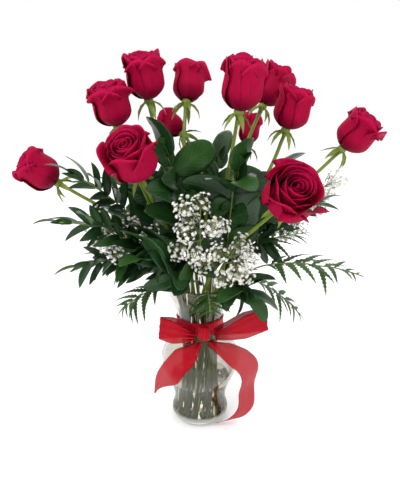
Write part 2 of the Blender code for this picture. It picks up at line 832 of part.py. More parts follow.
def build_bloom(row):
    """The petals as one goblet: narrow base, full body, flared and rolled lip, raised heart."""
    name, _, _, _, mouth, height, _ = row
    base, axis = rose_frame(row)
    matrix = frame_along(axis, Vector((0.3, 1.0, 0.2)), base)
    outline = (
        (0.0, 0.000, FIT_GAP * 2),
        (0.1, 0.46 * mouth, 0.05 * height),
        (0.2, 0.76 * mouth, 0.17 * height),
        (0.3, 0.91 * mouth, 0.36 * height),
        (0.4, 0.90 * mouth, 0.58 * height),
        (0.5, 0.91 * mouth, 0.76 * height),
        (0.6, 1.00 * mouth, 0.87 * height),
        (0.7, 0.86 * mouth, 0.93 * height),
        (0.8, 0.60 * mouth, 0.94 * height),
        (0.9, 0.34 * mouth, 0.98 * height),
        (1.0, 0.000, 1.00 * height),
    )

    def place(along, angle):
        index = min(9, int(along * 10 + 1e-6))
        share = along * 10 - index
        radius = outline[index][1] * (1 - share) + outline[index + 1][1] * share
        rise = outline[index][2] * (1 - share) + outline[index + 1][2] * share
        radius *= 1.0 + 0.04 * math.cos(5 * angle)
        return matrix @ Vector((rise, radius * math.cos(angle), radius * math.sin(angle)))

    shape = shaped_ball(place, 10, 10)
    mesh = merged_mesh(name + "_bloom", [shape])
    shape.free()
    add_part(name + "_bloom", mesh, "petal")
    PLACED.append(tree_of_mesh(mesh))


def build_rose_stem(row, slot):
    name, _, _, _, _, _, ring = row
    base, axis = rose_frame(row)
    end = base - axis * CALYX_LENGTH * 0.4
    stem, points, own_tree = place_stem(
        name + "_stem", ring, slot, end, axis, ROSE_STEM_RADIUS, 6, "rose_green"
    )
    matrix = frame_along(axis, Vector((0.3, 1.0, 0.2)), base)

    def place_calyx(along, angle):
        rise = -CALYX_LENGTH * (1 - min(1.0, along * 4 / 3))
        radius = CALYX_RADIUS * math.sin(math.pi * min(0.8, along)) ** 0.7 * (0 if along > 0.99 else 1)
        return matrix @ Vector((rise, radius * math.cos(angle), radius * math.sin(angle)))

    calyx = shaped_ball(place_calyx, 4, 6)
    guide = add_guide(name + "_calyx", merged_mesh(name + "_calyx", [calyx]))
    calyx.free()
    combine(stem, guide, "UNION")
    wishes = []
    for i in range(5):
        around = math.radians(72 * i + 20)
        outward = (matrix.to_3x3() @ Vector((0, math.cos(around), math.sin(around)))).normalized()
        root = base - axis * CALYX_LENGTH * 0.30 + outward * CALYX_RADIUS * 0.55
        toward = (outward - axis * 0.75).normalized()
        wishes.append((root, toward, axis, SEPAL_LENGTH, SEPAL_WIDTH, 0.25))
    grow_leaves(stem, own_tree, name + "_sepals", wishes, 0.40, 2, 0.0014)
    return "rose", points[0], points[1]


# ---------------------------------------------------------------- the whole bunch
def build_bunch():
    build_vase()
    build_ribbon()
    bpy.context.view_layer.update()
    graph = bpy.context.evaluated_depsgraph_get()
    for obj in PARTS.objects:
        solid = bpy.data.meshes.new_from_object(obj.evaluated_get(graph))
        PLACED.append(tree_of_mesh(solid))
        bpy.data.meshes.remove(solid)
    for row in ROSES:
        build_bloom(row)
    stems = []
    for ring in ("inner", "outer"):
        rows = [row for row in ROSES if row[-1] == ring]
        slots = share_slots([bearing_of(row[1]) for row in rows])
        stems += [build_rose_stem(row, slots[i]) for i, row in enumerate(rows)]
    sprays = [(row, None) for row in BABYS_BREATH]
    sprays += [(row, FERN_LOOK) for row in FERNS]
    sprays += [(row, RUSCUS_LOOK) for row in RUSCUS]
    sprays += [(row, SALAL_LOOK) for row in SALAL]
    slots = share_slots([bearing_of(row[1]) for row, _ in sprays])
    planted = []
    for i, (row, look) in enumerate(sprays):
        planted.append(build_spray_stem(row, slots[i], look["finish"] if look else "blossom"))
        stems.append(("spray", planted[i][1][0], planted[i][1][1]))
    for (row, look), stem in zip(sprays, planted):
        if look:
            build_leaves(row, stem, look)
        else:
            build_puffs(row, stem)
    build_water(stems)


clear_scene()
PARTS = new_collection("roses_in_a_vase")
GUIDES = new_collection("guides")
PLACED = []
build_bunch()
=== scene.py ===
import math

import bpy
import numpy as np
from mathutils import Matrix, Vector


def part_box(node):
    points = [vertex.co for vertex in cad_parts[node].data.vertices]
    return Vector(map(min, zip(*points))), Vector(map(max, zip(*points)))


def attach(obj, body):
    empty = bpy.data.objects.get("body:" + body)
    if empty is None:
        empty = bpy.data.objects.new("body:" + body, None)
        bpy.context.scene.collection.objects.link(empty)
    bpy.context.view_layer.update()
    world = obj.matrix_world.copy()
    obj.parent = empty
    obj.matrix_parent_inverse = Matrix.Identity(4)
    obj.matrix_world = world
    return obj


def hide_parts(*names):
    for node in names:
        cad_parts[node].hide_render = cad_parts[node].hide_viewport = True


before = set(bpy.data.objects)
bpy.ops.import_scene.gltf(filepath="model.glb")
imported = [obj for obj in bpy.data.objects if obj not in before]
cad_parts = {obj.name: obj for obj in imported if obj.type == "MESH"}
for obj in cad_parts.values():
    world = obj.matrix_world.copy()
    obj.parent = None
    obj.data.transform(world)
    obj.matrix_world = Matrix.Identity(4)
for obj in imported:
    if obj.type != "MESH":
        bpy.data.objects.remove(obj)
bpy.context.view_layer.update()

up = np.array([0.0, 0.0, 1.0])


# small vector helpers, all on whole arrays

def unit(vectors):
    # each vector divided by its length
    return vectors / np.maximum(np.linalg.norm(vectors, axis=-1, keepdims=True), 1e-9)


def smooth(low, high, value):
    # 3t^2 - 2t^3, where t runs from 0 at low to 1 at high
    t = np.clip((value - low) / (high - low), 0.0, 1.0)
    return t * t * (3.0 - 2.0 * t)


def through(knots, at):
    # a smooth curve through (place, value) knots: cubic steps whose slopes match at each knot
    knots = np.asarray(knots, float)
    places, values = knots[:, 0], knots[:, 1:]
    slopes = np.gradient(values, places, axis=0)
    at = np.clip(np.asarray(at, float), places[0], places[-1])
    i = np.clip(np.searchsorted(places, at, side="right") - 1, 0, len(places) - 2)
    span = (places[i + 1] - places[i])[..., None]
    t = ((at - places[i])[..., None]) / span
    return (values[i] * (2 * t**3 - 3 * t**2 + 1) + values[i + 1] * (3 * t**2 - 2 * t**3)
            + slopes[i] * span * (t**3 - 2 * t**2 + t) + slopes[i + 1] * span * (t**3 - t**2))


def evenly(path, count):
    # a path read again at equal lengths
    steps = np.r_[0.0, np.cumsum(np.linalg.norm(np.diff(path, axis=0), axis=1))]
    return through(np.c_[steps, path], np.linspace(0, steps[-1], count))


def turned(vectors, axis, angle):
    # Rodrigues: v cos a + (k x v) sin a + k (k.v)(1 - cos a)
    c, s = np.cos(angle), np.sin(angle)
    along = (vectors * axis).sum(-1, keepdims=True)
    return vectors * c + np.cross(axis, vectors) * s + axis * along * (1 - c)


def circle(count):
    # angles evenly round a circle, the last one short of the first
    return np.linspace(0, 2 * np.pi, count, endpoint=False)


def polar(radius, bearing, z):
    # (r cos b, r sin b, z), the bearing b in degrees
    angle = np.radians(bearing)
    return np.stack(np.broadcast_arrays(radius * np.cos(angle), radius * np.sin(angle), z), -1)


def carried(path):
    # frames along a path: its direction, and two crossing directions that never twist suddenly
    run = unit(np.gradient(path, axis=0))
    side = np.empty_like(run)
    start = np.cross(run[0], up)
    side[0] = unit(start if np.linalg.norm(start) > 0.05 else np.cross(run[0], [0.0, 1.0, 0.0]))
    for i in range(1, len(run)):
        side[i] = unit(side[i - 1] - run[i] * (side[i - 1] @ run[i]))
    return run, side, np.cross(side, run)


# meshes

def linked(name, data):
    made = bpy.data.objects.new(name, data)
    bpy.context.scene.collection.objects.link(made)
    return made


class Shells:
    # gathers closed shells, each worked out as arrays, into one mesh
    def __init__(self):
        self.points, self.quads, self.triangles, self.uv, self.tint = [], [], [], [], []
        self.count = 0

    def add(self, points, quads, triangles, uv, tint):
        self.points.append(points)
        self.quads.append(quads + self.count)
        self.triangles.append(triangles + self.count)
        self.uv.append(uv)
        self.tint.append(np.broadcast_to(tint, len(points)))
        self.count += len(points)

    def build(self, name, finish):
        points = np.concatenate(self.points)
        quads, triangles = np.concatenate(self.quads), np.concatenate(self.triangles)
        uv, tint = np.concatenate(self.uv), np.concatenate(self.tint)
        mesh = bpy.data.meshes.new(name)
        corners = np.r_[quads.ravel(), triangles.ravel()].astype(np.int32)
        starts = np.r_[np.arange(len(quads)) * 4, len(quads) * 4 + np.arange(len(triangles)) * 3]
        mesh.vertices.add(len(points))
        mesh.vertices.foreach_set("co", points.astype(np.float32).ravel())
        mesh.loops.add(len(corners))
        mesh.loops.foreach_set("vertex_index", corners)
        mesh.polygons.add(len(starts))
        mesh.polygons.foreach_set("loop_start", starts.astype(np.int32))
        mesh.update(calc_edges=True)
        layer = mesh.uv_layers.new(name="UVMap")
        layer.data.foreach_set("uv", uv[corners].astype(np.float32).ravel())
        shade = mesh.attributes.new("tint", "FLOAT", "POINT")
        shade.data.foreach_set("value", tint.astype(np.float32))
        mesh.shade_smooth()
        piece = linked(name, mesh)
        mesh.materials.append(finish)
        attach(piece, "root")
        return piece


def gridFaces(rows, columns, closed=False):
    # corner numbers of the quads of a grid of rows x columns points; closed joins the last column
    across = columns if closed else columns - 1
    i, j = np.meshgrid(np.arange(rows - 1), np.arange(across), indexing="ij")
    k = (j + 1) % columns
    return np.stack([i * columns + j, i * columns + k, (i + 1) * columns + k, (i + 1) * columns + j],
                    -1).reshape(-1, 4)


def endFans(rows, columns):
    # the triangles that close a tube of rows x columns points with one more point at each end
    j = np.arange(columns)
    k = (j + 1) % columns
    count, last = rows * columns, (rows - 1) * columns
    return np.concatenate([np.stack([k, j, np.full(columns, count)], -1),
                           np.stack([last + j, last + k, np.full(columns, count + 1)], -1)])


def turnedRings(profile, angle):
    # each profile point (radius, z) turned to every angle about +Z
    return np.stack([profile[:, :1] * np.cos(angle), profile[:, :1] * np.sin(angle),
                     profile[:, 1:] + 0 * angle], -1)


noFaces = np.zeros((0, 3), int)
poleUv = [[0, 0], [0, 1]]


def addBlade(shells, surface, thickness, uv, tint=0.0):
    # a thin closed blade: the grid surface(row, column), pushed half a thickness each way along its
    # normal, except on its border, where both sides meet; thickness is per point
    rows, columns, _ = surface.shape
    normal = unit(np.cross(np.gradient(surface, axis=1), np.gradient(surface, axis=0)))
    border = np.zeros((rows, columns), bool)
    border[[0, -1], :] = border[:, [0, -1]] = True
    lift = np.where(border, 0.0, thickness / 2)[..., None] * normal
    top = (surface + lift).reshape(-1, 3)
    inner = ~border.ravel()
    below = (surface - lift).reshape(-1, 3)[inner]
    number = np.arange(rows * columns)
    number[inner] = rows * columns + np.arange(inner.sum())
    faces = gridFaces(rows, columns)
    flat = uv.reshape(-1, 2)
    shade = np.broadcast_to(tint, (rows, columns)).reshape(-1)
    shells.add(np.concatenate([top, below]),
               np.concatenate([faces[:, ::-1], number[faces]]), noFaces,
               np.concatenate([flat, flat[inner]]), np.concatenate([shade, shade[inner]]))


def addTube(shells, path, radius, sides, tint=0.0):
    # rings of sides points round a path, at its radius there, closed by a point at each end
    run, side, over = carried(path)
    angle = circle(sides)
    size = np.broadcast_to(radius, len(path))[:, None]
    rings = (path[:, None] + side[:, None] * (np.cos(angle)[None, :] * size)[..., None]
             + over[:, None] * (np.sin(angle)[None, :] * size)[..., None])
    radii = np.broadcast_to(radius, len(path))
    ends = np.stack([path[0] - run[0] * radii[0] * 0.15, path[-1] + run[-1] * radii[-1] * 0.15])
    points = np.concatenate([rings.reshape(-1, 3), ends])
    along = np.repeat(np.linspace(0, 1, len(path)), sides)
    uv = np.concatenate([np.stack([np.tile(np.arange(sides) / sides, len(path)), along], -1), poleUv])
    shells.add(points, gridFaces(len(path), sides, True), endFans(len(path), sides), uv, tint)


# reading the frame: where each stem, leaf, puff and bloom is

def nodeArrays(name):
    # the node's corners merged by place, and its edges
    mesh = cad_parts[name].data
    points = np.empty(len(mesh.vertices) * 3, np.float32)
    mesh.vertices.foreach_get("co", points)
    points = points.reshape(-1, 3).astype(float)
    mesh.calc_loop_triangles()
    corners = np.empty(len(mesh.loop_triangles) * 3, np.int32)
    mesh.loop_triangles.foreach_get("vertices", corners)
    _, firstOf, whole = np.unique(np.round(points / 2e-6).astype(np.int64), axis=0,
                                  return_index=True, return_inverse=True)
    triangles = whole.ravel()[corners].reshape(-1, 3)
    edges = np.sort(triangles[:, [0, 1, 1, 2, 2, 0]].reshape(-1, 2), axis=1)
    return points[firstOf], np.unique(edges, axis=0)


def sliceRing(points, edges, centre, run, reach):
    # where the edges cross the plane through centre square to run, no further away than reach
    height = (points - centre) @ run
    a, b = height[edges[:, 0]], height[edges[:, 1]]
    cut = (a * b) < 0
    share = (a[cut] / (a[cut] - b[cut]))[:, None]
    places = points[edges[cut, 0]] * (1 - share) + points[edges[cut, 1]] * share
    return places[np.linalg.norm(places - centre, axis=1) < reach]


def leaning(run, angle, count=8):
    # unit vectors that lean from run by an angle, spaced evenly round it
    side = unit(np.cross(run, [0.3, 0.9, 0.1]))
    over = np.cross(run, side)
    turn = circle(count)[:, None]
    return unit(run * math.cos(angle) + math.sin(angle) * (np.cos(turn) * side + np.sin(turn) * over))


def followStem(points, edges, radius, step=0.005):
    # walks up a stem from its cut end, ring by ring, as long as a ring of its own size is found;
    # where none is straight ahead it looks a little to every side, then one step further on
    middle = points[points[:, 2] < points[:, 2].min() + radius].mean(axis=0)
    path, run = [middle], up.copy()
    for i in range(400):
        looks = np.concatenate([run[None], leaning(run, 0.2), leaning(run, 0.42), leaning(run, 0.65)])
        best, score = None, 0.0
        for stride in (step, step * 1.8, step * 2.8):
            for look in looks:
                guess = middle + look * stride
                ring = sliceRing(points, edges, guess, look, radius * (4.0 if i == 0 else 1.7))
                if len(ring) < 4:
                    continue
                fresh = (ring.min(axis=0) + ring.max(axis=0)) / 2
                gap = np.linalg.norm(ring - fresh, axis=1)
                whole = (gap > radius * 0.62).sum() >= 4 and gap.max() < radius * 1.5
                value = whole * (2.0 - np.linalg.norm(fresh - guess) / radius - (1 - look @ run))
                if value > score + 0.15:
                    best, score = fresh, value
            if best is not None:
                break
        if best is None:
            break
        heading = unit(best - middle)
        run = heading if i == 0 else unit(run * 0.4 + heading * 0.6)
        middle = best
        path.append(middle)
    path = np.array(path)
    for _ in range(2):
        path[1:-1] = (path[:-2] + path[1:-1] * 2 + path[2:]) / 4
    return path


def nearestOn(path, points):
    # for each point, the nearest place on a polyline, and how far away it is
    a, b = path[:-1], path[1:]
    span = b - a
    t = np.einsum("nij,ij->ni", points[:, None] - a, span) / np.maximum((span**2).sum(1), 1e-12)
    near = a + span * np.clip(t, 0, 1)[..., None]
    gap = np.linalg.norm(points[:, None] - near, axis=2)
    return near[np.arange(len(points)), gap.argmin(axis=1)], gap.min(axis=1)


def tipsOf(points, edges, path, least):
    # the corners that stand further from the stem than all those they are joined to, with those
    _, gap = nearestOn(path, points)
    beats = np.ones(len(points), bool)
    a, b = edges[:, 0], edges[:, 1]
    np.logical_and.at(beats, a, gap[a] >= gap[b])
    np.logical_and.at(beats, b, gap[b] >= gap[a])
    found = []
    for tip in np.flatnonzero(beats & (gap > least)):
        mates = np.r_[b[a == tip], a[b == tip]]
        if len(mates) <= 6:
            found.append((points[tip], points[mates]))
    return found


def readLeaf(tip, mates, path, slender):
    # a leaf from its tip and the corners next to it: their middle gives its direction, the pair
    # furthest apart its width direction, and the stem's nearest place to that line its root
    back = unit(mates.mean(axis=0) - tip)
    reach = np.linspace(0.01, 0.13, 61)
    _, gap = nearestOn(path, tip + back * reach[:, None])
    root = nearestOn(path, (tip + back * reach[gap.argmin()])[None])[0][0]
    length = np.linalg.norm(tip - root)
    along = (tip - root) / length
    apart = np.linalg.norm(mates[:, None] - mates[None], axis=2)
    i, j = np.unravel_index(apart.argmax(), apart.shape)
    side = mates[i] - mates[j]
    side = unit(side - along * (side @ along))
    over = np.cross(along, side)
    if over[2] < 0:
        side, over = -side, -over
    return {"root": root, "along": along, "length": length, "side": side, "over": over,
            "half": length * slender / 2}


# Materials: procedural, on the object's own coordinates or the "tint" and UV values of the mesh.

class Paint:
    # one material: a Principled shader whose sockets take plain values or small node chains
    def __init__(self, name, colour, roughness, **plain):
        self.finish = bpy.data.materials.new(name)
        self.finish.use_nodes = True
        self.tree = self.finish.node_tree
        self.shader = self.tree.nodes["Principled BSDF"]
        self.shader.inputs["Base Color"].default_value = (*colour, 1.0)
        self.shader.inputs["Roughness"].default_value = roughness
        for socket, value in plain.items():
            self.shader.inputs[socket.replace("_", " ")].default_value = value

    def node(self, kind, links=(), **settings):
        made = self.tree.nodes.new(kind)
        for key, value in settings.items():
            setattr(made, key, value)
        for socket, source in dict(links).items():
            if hasattr(source, "is_output"):
                self.tree.links.new(source, made.inputs[socket])
            else:
                made.inputs[socket].default_value = source
        return made

    def place(self):
        return self.node("ShaderNodeTexCoord").outputs["Object"]

    def noise(self, scale, detail=3.0, source=None):
        return self.node("ShaderNodeTexNoise", {"Vector": source or self.place(), "Scale": scale,
                                                "Detail": detail}).outputs["Fac"]

    def tint(self):
        return self.node("ShaderNodeAttribute", attribute_name="tint").outputs["Fac"]

    def uv(self):
        split = self.node("ShaderNodeSeparateXYZ", {"Vector": self.node("ShaderNodeUVMap").outputs["UV"]})
        return split.outputs["X"], split.outputs["Y"]

    def maths(self, operation, first, second=0.0):
        return self.node("ShaderNodeMath", {0: first, 1: second}, operation=operation).outputs[0]

    def times(self, first, second):
        return self.maths("MULTIPLY", first, second)

    def ramp(self, value, *stops):
        made = self.node("ShaderNodeValToRGB", {"Fac": value})
        points = made.color_ramp.elements
        while len(points) < len(stops):
            points.new(0.5)
        for point, (place, colour) in zip(points, stops):
            point.position = place
            point.color = (*colour, 1.0) if len(colour) == 3 else colour
        return made.outputs["Color"]

    def mix(self, amount, first, second, blend="MIX"):
        made = self.node("ShaderNodeMix", data_type="RGBA", blend_type=blend)
        for socket, source in zip((made.inputs[0], made.inputs[6], made.inputs[7]), (amount, first, second)):
            if hasattr(source, "is_output"):
                self.tree.links.new(source, socket)
            else:
                socket.default_value = source if not isinstance(source, tuple) else (*source, 1.0)
        return made.outputs[2]

    def colour(self, source):
        self.tree.links.new(source, self.shader.inputs["Base Color"])
        return self

    def relief(self, height, strength, distance):
        bump = self.node("ShaderNodeBump", {"Height": height, "Strength": strength, "Distance": distance})
        self.tree.links.new(bump.outputs["Normal"], self.shader.inputs["Normal"])
        return self


petalLook = {
    "deep": (0.070, 0.0005, 0.009),  # painted shade in the folds, towards the base and in the heart; also the colour the veins darken to
    "main": (0.37, 0.001, 0.034),
    "lip": (0.56, 0.006, 0.072),  # painted highlight along the rolled edge; also what the random mottling lightens to
    "roughness": 0.6,
    "sheen": 0.04,
}


def petalPaint():
    # painted shade to the base and in the heart, a painted highlight along the rolled edge, uneven veins
    # that run up the petal
    paint = Paint("rose petal", petalLook["main"], petalLook["roughness"], Sheen_Weight=petalLook["sheen"],
                  Sheen_Roughness=0.4, Specular_IOR_Level=0.06, Subsurface_Weight=0.08,
                  Subsurface_Radius=(0.006, 0.001, 0.001), Subsurface_Scale=0.3)
    paint.shader.inputs["Sheen Tint"].default_value = (1.0, 0.2, 0.4, 1.0)
    across, along = paint.uv()
    # up the petal: painted shade at the base, a painted highlight at the rolled edge
    base = paint.ramp(along, (0.0, petalLook["deep"]), (0.45, petalLook["main"]), (0.86, petalLook["main"]),
                      (1.0, petalLook["lip"]))
    strand = paint.node("ShaderNodeCombineXYZ", {"X": paint.times(across, 13.0),
                                                 "Y": paint.times(along, 1.3), "Z": paint.tint()})
    vein = paint.ramp(paint.noise(2.2, 4.0, strand.outputs[0]), (0.35, (0, 0, 0)), (0.68, (1, 1, 1)))
    cloud = paint.noise(140.0)
    lively = paint.mix(paint.times(vein, 0.34), base, petalLook["deep"])
    # painted shade: the tint darkens the inner petals of the heart
    shade = paint.mix(paint.times(paint.tint(), 0.6), lively, petalLook["deep"])
    paint.colour(paint.mix(paint.times(cloud, 0.25), shade, petalLook["lip"]))
    return paint.relief(paint.maths("ADD", paint.times(vein, 0.6), cloud), 0.35, 0.0004).finish


greenLook = {
    "leaf": ((0.004, 0.020, 0.006), (0.010, 0.048, 0.010), (0.050, 0.130, 0.025)),  # dark, main, light
    "fern": ((0.006, 0.028, 0.005), (0.026, 0.090, 0.011), (0.085, 0.180, 0.028)),
    "rose": ((0.070, 0.105, 0.010), (0.165, 0.235, 0.026), (0.30, 0.36, 0.060)),
    "twig": ((0.080, 0.100, 0.026), (0.170, 0.200, 0.065), (0.32, 0.34, 0.150)),
}


def greenPaint(name, tones, roughness, veins, coat=0.0):
    # dark to light by the leaf's own tint; a pale midrib and side veins that sweep forward from it
    dark, main, light = tones
    paint = Paint(name, main, roughness, Coat_Weight=coat, Coat_Roughness=0.18, Specular_IOR_Level=0.3)
    across, along = paint.uv()
    off = paint.maths("ABSOLUTE", paint.maths("SUBTRACT", across, 0.5))
    base = paint.ramp(paint.maths("ADD", paint.times(paint.noise(55.0), 0.5),
                                  paint.times(paint.tint(), 0.6)),
                      (0.15, dark), (0.45, main), (0.95, light))
    rib = paint.ramp(off, (0.0, (1, 1, 1)), (0.022, (0.5, 0.5, 0.5)), (0.045, (0, 0, 0)))
    if veins:
        sweep = paint.maths("SUBTRACT", paint.times(along, veins),
                            paint.times(off, veins * 0.7))
        ridge = paint.maths("PINGPONG", sweep, 0.5)
        line = paint.ramp(ridge, (0.0, (0.75, 0.75, 0.75)), (0.10, (0.15, 0.15, 0.15)), (0.2, (0, 0, 0)))
        rib = paint.node("ShaderNodeMath", {0: rib, 1: line}, operation="MAXIMUM").outputs[0]
    paint.colour(paint.mix(paint.times(rib, 0.45), base, light))
    height = paint.maths("SUBTRACT", paint.times(paint.noise(260.0), 0.35), rib)
    return paint.relief(height, 0.5, 0.0005).finish


def blossomPaint():
    # warm white, some flowers and specks darker and yellower at random
    paint = Paint("small blossom", (0.80, 0.77, 0.66), 0.75, Subsurface_Weight=0.1,
                  Subsurface_Radius=(0.003, 0.003, 0.002), Subsurface_Scale=0.3)
    shade = paint.maths("ADD", paint.times(paint.noise(420.0), 0.5),
                        paint.times(paint.tint(), 0.5))
    paint.colour(paint.ramp(shade, (0.15, (0.55, 0.52, 0.34)), (0.35, (0.88, 0.87, 0.79)),
                            (0.7, (0.95, 0.95, 0.92))))
    return paint.relief(paint.noise(900.0), 0.4, 0.0003).finish


ribbonLook = {
    "colour": (0.58, 0.001, 0.016),
    # painted shade in the creases of the pleats, and the darker grid of the weave
    "shade": (0.24, 0.001, 0.008),
    "threads": 26.0,  # threads across the width in the weave pattern
}


def ribbonPaint(name, clear):
    # a sheer weave: threads across and along catch the light
    paint = Paint(name, ribbonLook["colour"], 0.42, Alpha=1.0 - clear, Specular_IOR_Level=0.12)
    across, along = paint.uv()
    warp = paint.maths("PINGPONG", paint.times(across, ribbonLook["threads"]), 0.5)
    weft = paint.maths("PINGPONG", paint.times(along, ribbonLook["threads"] * 3.0), 0.5)
    weave = paint.maths("MAXIMUM", warp, weft)
    woven = paint.mix(paint.times(weave, 0.9), ribbonLook["colour"], ribbonLook["shade"])
    # painted shade: the tint darkens the ribbon in the creases of its pleats
    paint.colour(paint.mix(paint.times(paint.tint(), 0.7), woven, ribbonLook["shade"]))
    return paint.relief(weave, 0.3, 0.0002).finish


glassLook = {"tint": (0.72, 0.70, 0.655), "ior": 1.45}
waterLook = {"tint": (0.92, 0.92, 0.77), "ior": 1.33}


def clearPaint(name, tint, ior):
    # what shows through is tinted once at each face it crosses
    return Paint(name, tint, 0.0, IOR=ior, Transmission_Weight=1.0).finish


petalFinish = petalPaint()
leafFinish = greenPaint("glossy leaf", greenLook["leaf"], 0.30, 9.0, 0.08)
fernFinish = greenPaint("fern leaf", greenLook["fern"], 0.50, 16.0)
roseGreenFinish = greenPaint("rose stem and sepal", greenLook["rose"], 0.42, 0.0, 0.1)
twigFinish = greenPaint("dry twig", greenLook["twig"], 0.6, 0.0)
blossomFinish = blossomPaint()
sheerFinish = ribbonPaint("sheer ribbon", 0.24)
knotFinish = ribbonPaint("gathered ribbon", 0.0)
glassFinish = clearPaint("clear glass", glassLook["tint"], glassLook["ior"])
waterFinish = clearPaint("water", waterLook["tint"], waterLook["ior"])
print("materials made")


# Roses: each bloom is a spiral of separate petals between the CAD bloom's base and mouth.

roseLook = {
    "petals": 24,
    "rows": 15,
    "columns": 13,
    "thickness": 0.00055,
    "openBlooms": ("rose_04", "rose_12"),  # these show more of their heart
    "spiral": 2.3999,  # turn from one petal to the next
}


def addPetal(shells, base, directions, height, radius, share, bearing, openness, chance):
    # share runs from 0 at the heart to 1 outside. Across u from -1 to 1 and up v from 0 to 1:
    # angle = bearing + halfAngle(share) u (0.42 + 0.58 sqrt v), a little less at the top,
    # radius = body(share) swell(v) (1 - closing) + lip + wave + tuck, where swell rises by a quarter
    # sine from 0.3 to 1 over the lowest 0.4, and height = top(share) v^p corner(u) - roll
    u, v = np.meshgrid(np.linspace(-1, 1, roseLook["columns"]), np.linspace(0, 1, roseLook["rows"]))
    halfAngle = 2.1 * (1 - share) ** 2 + 0.90 + 0.20 * (1 - share)
    body = radius * (0.06 + (0.82 + 0.02 * openness) * share ** 0.85)
    top = height * (0.93 + 0.05 * np.sin(share * 2.4) - 0.03 * share**2 + 0.10 * (chance[0] - 0.5))
    angle = bearing + halfAngle * u * (0.42 + 0.58 * np.sqrt(v)) * (1 - 0.10 * smooth(0.75, 1.0, v))
    swell = 0.30 + 0.70 * np.sin(np.pi / 2 * np.minimum(1.0, 2.5 * v)) - 0.07 * smooth(0.45, 0.85, v) * share
    closing = (0.42 - 0.25 * openness) * (1 - share) ** 1.5 * smooth(0.45, 1.0, v)
    lip = share**1.5 * smooth(0.66, 1.0, v) * radius * (0.10 + 0.34 * chance[1]) * (0.45 + 0.75 * u**2)
    wave = 0.035 * radius * np.sin(4.0 * u + 6.0 * chance[2]) * smooth(0.7, 1.0, v) * (0.35 + share)
    tuck = 0.05 * radius * u * (0.35 + 0.65 * share)
    out = body * swell * (1 - closing) + lip + wave + tuck
    corner = (1 - (0.10 + 0.10 * share) * np.abs(u) ** 2.6 * smooth(0.4, 1.0, v)
              + 0.03 * np.exp(-(u / 0.22) ** 2) * smooth(0.8, 1, v) * share)
    roll = share * smooth(0.80, 1.0, v) * radius * (0.10 + 0.12 * chance[3]) * (0.6 + 0.7 * u**2)
    high = top * v ** (0.90 + 0.32 * share) * corner - roll - 0.02 * height * (1 - share) * smooth(0.9, 1, v)
    side, over, axis = directions
    out = np.maximum(out, 0.0004)
    surface = (base + side * (out * np.cos(angle))[..., None] + over * (out * np.sin(angle))[..., None]
               + axis * high[..., None])
    thickness = roseLook["thickness"] * (1.3 - 0.6 * v)
    uv = np.stack([(u + 1) / 2, v], -1)
    # the tint is painted shade, strongest on the inner petals of the heart, with a random part for each
    # petal
    tint = np.clip(0.55 - 0.55 * share + 0.35 * (chance[4] - 0.5), 0, 1) * np.ones_like(u)
    addBlade(shells, surface[:, ::-1], thickness[:, ::-1], uv[:, ::-1], tint)


def buildBloom(name, neck):
    # neck is the last place of the stem; the bloom's base is its corner nearest that
    points, _ = nodeArrays(name + "_bloom")
    base = points[np.linalg.norm(points - neck, axis=1).argmin()]
    axis = unit(points.mean(axis=0) - base)
    height = ((points - base) @ axis).max()
    off = (points - base) - ((points - base) @ axis)[:, None] * axis
    radius = np.percentile(np.linalg.norm(off, axis=1), 92)
    side = unit(np.cross(axis, [0.2, 1.0, 0.1]))
    directions = (side, np.cross(axis, side), axis)
    openness = 1.0 if name in roseLook["openBlooms"] else 0.35
    count = roseLook["petals"]
    dice = np.random.default_rng(sum(ord(c) for c in name) * 7)
    shells = Shells()
    heart = base + axis * np.linspace(0.0, height * 0.72, 7)[:, None]
    # a core in the heart, its tint darkening it as painted shade
    addTube(shells, heart, radius * np.array([0.10, 0.13, 0.14, 0.12, 0.09, 0.06, 0.03]), 10, 0.7)
    for i in range(count):
        share = (i / (count - 1)) ** 0.8
        bearing = i * roseLook["spiral"] + dice.uniform(-0.2, 0.2)
        addPetal(shells, base, directions, height, radius, share, bearing, openness, dice.random(5))
    piece = shells.build(name + "_petals", petalFinish)
    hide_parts(name + "_bloom")
    return base, axis


stemLook = {
    "sides": 12,
    "radius": 0.0025,
    "thorns": 5,
    "thornSize": 0.0042,
    "calyxLength": 0.012,
    "calyx": ((0.0, 0.0026), (0.2, 0.0036), (0.55, 0.0064), (0.85, 0.0060), (1.0, 0.0046)),  # share, radius
    "sepalHalfWidth": 0.0036,
    "sepalRing": 0.0042,  # how far from the axis the sepals start
}
leastLeaf = 0.012  # corners nearer the stem than this are no leaf tips


def addThorn(shells, place, run, out, size):
    # a small curved cone: rings that shrink and droop away from the stem
    stand, droop = np.array([0.0, 0.5, 1.0])[:, None], np.array([0.0, 0.05, 0.35])[:, None]
    path = place + out * stand * size - run * droop * size
    addTube(shells, path, size * np.array([0.42, 0.2, 0.04]), 6, 0.2)


def addLeaf(shells, leaf, outline, rows, columns, arch, fold, thickness, tint, ripple=0.0, phase=0.0):
    # along s from 0 to 1 and across c from -1 to 1: middle = root + L s along + 4 arch L s (1 - s) over,
    # half width = half outline(s); the halves rise by fold |c| and ripple by a sine along the edge
    s = np.linspace(0, 1, rows)[:, None]
    c = np.linspace(-1, 1, columns)[None, :]
    half = leaf["half"] * outline(s)
    lift = (4 * arch * leaf["length"] * s * (1 - s) + fold * half * np.abs(c) - fold * half * 0.5
            + ripple * half * c**2 * np.sin(s * 19 + phase + 1.5 * np.sign(c)))
    surface = (leaf["root"] + leaf["along"] * (leaf["length"] * s + 0 * c)[..., None]
               + leaf["over"] * lift[..., None] + leaf["side"] * (half * c)[..., None])
    uv = np.stack([0.5 + 0.5 * c + 0 * s, s + 0 * c], -1)
    addBlade(shells, surface, thickness * (1.15 - 0.5 * np.abs(c)) * (1.0 - 0.5 * s), uv, tint)


